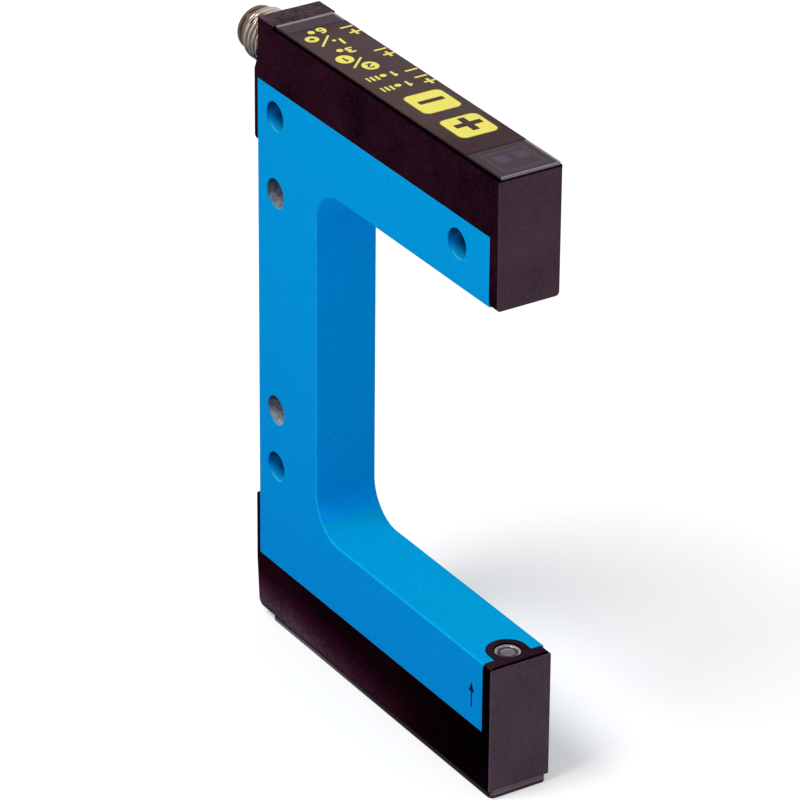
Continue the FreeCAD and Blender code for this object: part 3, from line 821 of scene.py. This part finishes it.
def film_marks():
    """Printed shapes on the film as (layer, polygon) in millimetres, each laid over the ones before it."""
    marks = []

    def add(layer, *shapes):
        for shape in shapes:
            marks.append((layer, shape))

    for x, y in ((-21.2, 0.45), (-12.35, 0.5)):
        add(OUTLINE, rounded_square((x, y), 3.25, 3.15, 1.12))
        add(YELLOW, rounded_square((x, y), 3.08, 2.98, 1.0))
    add(GROUND, *stroke([(-21.6, -1.45), (-21.6, 2.5)], 1.0))
    add(GROUND, *stroke([(-14.9, 0.75), (-10.75, 0.75)], 1.1))
    add(GROUND, *stroke([(-12.85, -1.35), (-12.85, 2.85)], 1.1))

    add(YELLOW, *digit("6", (-49.45, 0.65), 1.25, 1.6, 0.42))
    add(YELLOW, disc((-48.8, -1.6), 0.55, 0.5))
    add(YELLOW, disc((-46.8, -2.7), 1.0, 1.0))
    add(GROUND, disc((-46.8, -2.7), 0.35, 0.42))
    add(YELLOW, *stroke([(-46.8, -0.1), (-44.0, -2.7)], 0.33))
    add(YELLOW, *stroke([(-45.15, 0.65), (-43.3, 0.5)], 0.42))
    add(YELLOW, disc((-44.95, -0.3), 0.3, 0.3, 16))
    add(YELLOW, *digit("3", (-41.9, 0.6), 1.15, 1.45, 0.4))
    add(YELLOW, disc((-41.7, -1.4), 0.5, 0.5))
    add(YELLOW, disc((-38.85, -2.35), 1.35, 1.28))
    add(GROUND, *digit("1", (-39.45, -1.95), 0.75, 1.25, 0.32))
    add(YELLOW, *stroke([(-38.3, -0.1), (-35.8, -2.75)], 0.33))
    add(YELLOW, disc((-35.35, -0.45), 1.35, 1.2))
    add(GROUND, *digit("2", (-35.9, -0.05), 0.8, 1.15, 0.3))
    for x in (-32.3, -28.6):
        add(YELLOW, *digit("1", (x, 1.35), 1.0, 1.5, 0.38))
        add(YELLOW, disc((x + 0.6, -0.7), 0.45, 0.5))
        for y, width in ((-1.75, 0.38), (-2.5, 0.38), (-3.2, 0.3)):
            add(YELLOW, *stroke([(x + 0.15, y), (x + 1.5, y)], width))

    for x in (-47.95, -39.2, -31.3, -28.9):
        add(YELLOW, *stroke([(x, 2.55), (x, 4.5)], 0.4))
    for x in (-46.0, -37.35, -27.0):
        add(YELLOW, *plus_sign((x, 3.75), 0.88, 0.42))
    return marks


class SENSOR_OT_film(bpy.types.Operator):
    """Make the printed keypad film, with its two keys and marks inlaid in its face"""
    bl_idname = "sensor.film"
    bl_label = "Printed film"

    def execute(self, context):
        lo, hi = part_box("keypad_foil")
        points = [Vector((x, y)) for x, y in ((lo[0], lo[1]), (hi[0], lo[1]), (hi[0], hi[1]), (lo[0], hi[1]))]
        loops = [[0, 1, 2, 3]]
        layers = [GROUND]
        for layer, polygon in film_marks():
            start = len(points)
            points += [Vector((x * MM, y * MM)) for x, y in polygon]
            loops.append(list(range(start, len(points))))
            layers.append(layer)
        flat, _, faces, _, _, sources = geometry.delaunay_2d_cdt(points, [], loops, 1, 1e-8, True)
        shape = bmesh.new()
        top = [shape.verts.new((p.x, p.y, hi[2])) for p in flat]
        for corners, owners in zip(faces, sources):
            face = shape.faces.new([top[i] for i in corners])
            face.normal_update()
            if face.normal.z < 0:
                face.normal_flip()
            face.material_index = layers[max(owners)] if owners else GROUND
        rim = [e for e in shape.edges if len(e.link_faces) == 1]
        lifted = bmesh.ops.extrude_edge_only(shape, edges=rim)["geom"]
        below = [v for v in lifted if isinstance(v, bmesh.types.BMVert)]
        for vert in below:
            vert.co.z = lo[2]
        loose = [e for e in lifted if isinstance(e, bmesh.types.BMEdge) and len(e.link_faces) == 1]
        bmesh.ops.contextual_create(shape, geom=loose)
        bmesh.ops.recalc_face_normals(shape, faces=shape.faces)
        for vert in [v for v in shape.verts if not v.link_faces]:
            shape.verts.remove(vert)
        film = new_object("printed_film", mesh_from(shape, "printed_film"))
        for finish in film_finishes(context.scene.sensor_colours):
            film.data.materials.append(finish.material)
        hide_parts("keypad_foil")
        return {"FINISHED"}


# Outline of a lens from its rim inwards, as (drop below the top in millimetres, share of the radius)
LENS_RIM = ((0.34, 1.0), (0.2, 0.985), (0.13, 0.95), (0.11, 0.9), (0.15, 0.83), (0.3, 0.76), (0.36, 0.7))
LENS_CROWN = LENS_RIM[-1]


class SENSOR_OT_lenses(bpy.types.Operator):
    """Make the two domed lenses of the light beam"""
    bl_idname = "sensor.lenses"
    bl_label = "Lenses"

    def execute(self, context):
        glass = glass_finish()
        for node, name, outward in (("emitter_lens", "lower_lens", 1), ("receiver_lens", "upper_lens", -1)):
            lo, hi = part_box(node)
            radius = hi[0] - 0.02 * MM
            seat = lo[2] if outward > 0 else hi[2]
            top = hi[2] - lo[2] - 0.01 * MM
            rings = [(0.0, radius * 0.02), (0.0, radius * 0.94), (0.06 * MM, radius)]
            rings += [(top - drop * MM, radius * share) for drop, share in LENS_RIM]
            for i in range(1, 9):
                inwards = 1.0 - i / 8.6
                rings.append((top - LENS_CROWN[0] * MM * inwards ** 2, radius * LENS_CROWN[1] * inwards))
            shape = bmesh.new()
            rows = revolve(shape, rings, 64)
            shape.faces.new(list(reversed(rows[0])))
            shape.faces.new(rows[-1])
            bmesh.ops.recalc_face_normals(shape, faces=shape.faces)
            turn = Matrix.Rotation(-math.pi / 2.0 * outward, 4, "Y")
            bmesh.ops.transform(shape, matrix=Matrix.Translation((0, 0, seat)) @ turn, verts=shape.verts)
            lens = glass.wear(new_object(name, mesh_from(shape, name, 50.0)))
            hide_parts(node)
        return {"FINISHED"}


class SENSOR_OT_plug(bpy.types.Operator):
    """Cut the thread of the plug and finish its insert, pins and seal"""
    bl_idname = "sensor.plug"
    bl_label = "Threaded plug"

    def execute(self, context):
        sizes = context.scene.sensor_sizes
        pitch, depth = sizes.thread_pitch, sizes.thread_depth
        lo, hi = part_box("connector_shell")
        mouth, shoulder = lo[0], low("connector_seal")[0]
        axis = (lo[2] + hi[2]) / 2.0
        major = hi[1] - 0.01 * MM
        root = major - depth
        thread_end = mouth + 1.9 * MM
        bore, shank, shank_bore = 2.9 * MM, 2.8 * MM, 2.2 * MM

        def run_in(x):
            """How far the thread has come up to its full height, from 0 to 1."""
            return min(1.0, (x - thread_end) / (0.45 * MM))

        def cut(x, turn):
            """Depth of the thread groove at a place on the barrel, run out at both ends."""
            if x < thread_end or x > shoulder - 0.15 * MM:
                return 0.0
            phase = ((x - thread_end) / pitch + turn / (2.0 * math.pi)) % 1.0
            return -depth * min(1.0, max(0.0, abs(phase - 0.5) * 3.2 - 0.3)) * run_in(x)

        web = shoulder - 0.5 * MM
        groove = root - 0.2 * MM
        rings = [(web, shank_bore), (web, bore), (mouth + 0.25 * MM, bore), (mouth, bore + 0.2 * MM),
                 (mouth, groove), (mouth + 0.2 * MM, root), (mouth + 0.65 * MM, root),
                 (mouth + 0.75 * MM, groove), (mouth + 1.15 * MM, groove),
                 (mouth + 1.25 * MM, root), (thread_end - 0.02 * MM, root)]
        steps = 58
        for i in range(steps + 1):
            x = thread_end + (shoulder - thread_end) * i / steps
            rings.append((x, root + depth * run_in(x)))
        rings += [(shoulder, shank), (hi[0] - 0.15 * MM, shank), (hi[0], shank - 0.15 * MM),
                  (hi[0], shank_bore)]

        shape = bmesh.new()
        rows = revolve(shape, rings, spin=cut)
        bridge(shape, rows[-1], rows[0])
        bmesh.ops.recalc_face_normals(shape, faces=shape.faces)
        bmesh.ops.translate(shape, vec=Vector((0, 0, axis)), verts=shape.verts)
        shell = new_object("threaded_shell", mesh_from(shape, "threaded_shell", 40.0))
        nickel_finish(context.scene.sensor_colours).wear(shell)
        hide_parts("connector_shell")
        insert = plain_finish("Insert moulding", (0.012, 0.012, 0.013), 0.4, 0.55, "grain", 2600.0, 0.4, 0.2)
        insert.wear(eased("connector_insert", "plug_insert", 0.08 * MM))
        gold = plain_finish("Gold plate", (0.83, 0.6, 0.22), 0.14, 0.26, "turned", 7000.0, 0.2, 0.08, Metallic=1.0)
        gold.wear(eased("connector_pins", "plug_pins", 0.09 * MM))
        rubber().wear(eased("connector_seal", "plug_seal", 0.15 * MM))
        return {"FINISHED"}


def rubber():
    return plain_finish("Seal rubber", (0.009, 0.009, 0.01), 0.7, 0.85, "grain", 2400.0, 0.5, 0.25)


class SENSOR_OT_fixings(bpy.types.Operator):
    """Finish the gaskets and the screws that hold the covers"""
    bl_idname = "sensor.fixings"
    bl_label = "Gaskets and screws"

    def execute(self, context):
        for node in ("upper_seal", "lower_seal"):
            rubber().wear(eased(node, node + "_ring", 0.08 * MM))
        steel = plain_finish("Zinc steel", (0.56, 0.57, 0.56), 0.24, 0.4, "turned", 5200.0, 0.3, 0.15, Metallic=1.0)
        for node in ("upper_cover_screws", "lower_cover_screws"):
            steel.wear(eased(node, node.replace("cover_screws", "cover_bolts"), 0.1 * MM))
        return {"FINISHED"}


class SENSOR_OT_electronics(bpy.types.Operator):
    """Finish the boards, chips, lamps, switches and the ribbon inside"""
    bl_idname = "sensor.electronics"
    bl_label = "Electronics"

    def execute(self, context):
        chip = plain_finish("Chip resin", (0.016, 0.016, 0.017), 0.45, 0.6, "grain", 3000.0, 0.3, 0.2)
        socket = plain_finish("Socket plastic", (0.62, 0.58, 0.5), 0.4, 0.55, "grain", 2600.0, 0.15, 0.12)
        case = plain_finish("Switch case", (0.02, 0.02, 0.022), 0.35, 0.5, "grain", 3000.0, 0.3, 0.15)
        stem = plain_finish("Switch plunger", (0.72, 0.72, 0.7), 0.3, 0.45, "grain", 3000.0, 0.2, 0.12)
        for finish, worn_by in (
                (board_finish("Board lacquer", (0.004, 0.075, 0.03)), ("main_board", "emitter_board")),
                (chip, ("microcontroller", "receiver_diode")),
                (lamp_finish("Green lamp", (0.25, 0.8, 0.3)), ("indicator_led_front",)),
                (lamp_finish("Amber lamp", (0.9, 0.5, 0.08)), ("indicator_led_rear",)),
                (ribbon_finish(), ("ribbon_cable",)),
                (socket, ("ribbon_socket_upper", "ribbon_socket_lower")),
                (case, ("key_switch_minus", "key_switch_plus")),
                (stem, ("key_plunger_minus", "key_plunger_plus"))):
            for node in worn_by:
                finish.wear(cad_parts[node])
        beam = lamp_finish("Beam lamp", (0.75, 0.2, 0.2))
        beam.wear(eased("emitter_led", "beam_lamp", 0.12 * MM))
        guide = lamp_finish("Light guide", (0.82, 0.84, 0.86))
        for node in ("front_light_guide", "rear_light_guide"):
            guide.wear(eased(node, node.replace("light_guide", "guide_bar"), 0.08 * MM))
        return {"FINISHED"}


FLOOR_HALF, FLOOR_DROP = 3.0, 0.02 * MM
PAPER_GLOW = 0.32
LAMP_SPREAD = math.radians(28.0)
KEY_FROM = (-0.05, -0.5, 0.865)
VIEW_FROM = (0.52583, -0.35333, 0.39596)
VIEW_TURNS = (57.46, 27.98, 0.46)  # round Z, down and roll, in degrees


class SENSOR_OT_stage(bpy.types.Operator):
    """Lay the pale floor and set the soft light and the camera"""
    bl_idname = "sensor.stage"
    bl_label = "Floor, light and camera"

    def execute(self, context):
        scene = context.scene
        stage = scene.sensor_stage
        shape = bmesh.new()
        bmesh.ops.create_grid(shape, x_segments=1, y_segments=1, size=FLOOR_HALF)
        floor = bpy.data.objects.new("floor", mesh_from(shape, "floor"))
        floor.location.z = -FLOOR_DROP
        scene.collection.objects.link(floor)
        pale = (0.8, 0.8, 0.8)
        paper = Finish("Paper floor", pale, Roughness=0.9, Specular_IOR_Level=0.0)
        paper.tint(pale, paper.group("grain", Scale=300.0, Contrast=0.01)["Tone"])
        seen = paper.node("ShaderNodeLightPath").outputs["Is Camera Ray"]
        paper.feed("Emission Color", (1.0, 1.0, 1.0))
        paper.feed("Emission Strength", paper.times(seen, PAPER_GLOW))
        paper.wear(floor)

        world = bpy.data.worlds.new("Studio")
        scene.world = world
        world.use_nodes = True
        world.node_tree.nodes.clear()
        room = Nodes(world.node_tree)
        ray = room.node("ShaderNodeLightPath").outputs
        white = room.most(ray["Is Camera Ray"], ray["Is Transmission Ray"], ray["Is Glossy Ray"])
        sky = room.node("ShaderNodeBackground", {"Color": (1.0, 1.0, 1.0),
                                                 "Strength": room.blend(white, stage.sky, 1.0)})
        room.node("ShaderNodeOutputWorld", {"Surface": sky.outputs[0]})

        lamp = bpy.data.lights.new("key", "SUN")
        lamp.energy = stage.key
        lamp.angle = LAMP_SPREAD
        key = bpy.data.objects.new("key", lamp)
        key.rotation_euler = Vector(KEY_FROM).to_track_quat("Z", "Y").to_euler()
        scene.collection.objects.link(key)

        lens = bpy.data.cameras.new("view")
        lens.lens = stage.lens
        lens.sensor_width = 36.0
        lens.clip_start = 0.01
        lens.clip_end = 20.0
        camera = bpy.data.objects.new("view", lens)
        across, drop, roll = (math.radians(angle) for angle in VIEW_TURNS)
        forward = Vector((-math.sin(across) * math.cos(drop), math.cos(across) * math.cos(drop), -math.sin(drop)))
        right = Vector((math.cos(across), math.sin(across), 0.0))
        up = right.cross(forward)
        right, up = right * math.cos(roll) + up * math.sin(roll), up * math.cos(roll) - right * math.sin(roll)
        turn = Matrix((right, up, -forward)).transposed()
        camera.matrix_world = Matrix.Translation(VIEW_FROM) @ turn.to_4x4()
        scene.collection.objects.link(camera)
        scene.camera = camera
        scene.view_settings.view_transform = "Standard"
        return {"FINISHED"}


OPERATORS = (SENSOR_OT_housing, SENSOR_OT_covers, SENSOR_OT_lid, SENSOR_OT_film, SENSOR_OT_lenses,
             SENSOR_OT_plug, SENSOR_OT_fixings, SENSOR_OT_electronics, SENSOR_OT_stage)


class SENSOR_PT_build(bpy.types.Panel):
    """Lists the sensor's pieces and their settings"""
    bl_idname = "SENSOR_PT_build"
    bl_label = "Fork Sensor"
    bl_space_type = "VIEW_3D"
    bl_region_type = "UI"
    bl_category = "Sensor"

    def draw(self, context):
        column = self.layout.column()
        for operator in OPERATORS:
            column.operator(operator.bl_idname)
        for group in (context.scene.sensor_colours, context.scene.sensor_sizes, context.scene.sensor_stage):
            box = self.layout.box()
            for key in group.bl_rna.properties.keys():
                if key not in ("rna_type", "name"):
                    box.prop(group, key)


GROUPS = (("sensor_colours", SensorColours), ("sensor_sizes", SensorSizes), ("sensor_stage", SensorStage))


def register():
    for name, group in GROUPS:
        bpy.utils.register_class(group)
        setattr(bpy.types.Scene, name, bpy.props.PointerProperty(type=group))
    for operator in OPERATORS:
        bpy.utils.register_class(operator)
    bpy.utils.register_class(SENSOR_PT_build)


def unregister():
    bpy.utils.unregister_class(SENSOR_PT_build)
    for operator in reversed(OPERATORS):
        bpy.utils.unregister_class(operator)
    for name, group in reversed(GROUPS):
        delattr(bpy.types.Scene, name)
        bpy.utils.unregister_class(group)


def main():
    """Dress every piece in order."""
    register()
    build_effects()
    for operator in OPERATORS:
        group, call = operator.bl_idname.split(".")
        getattr(getattr(bpy.ops, group), call)()


if __name__ == "__main__":
    main()
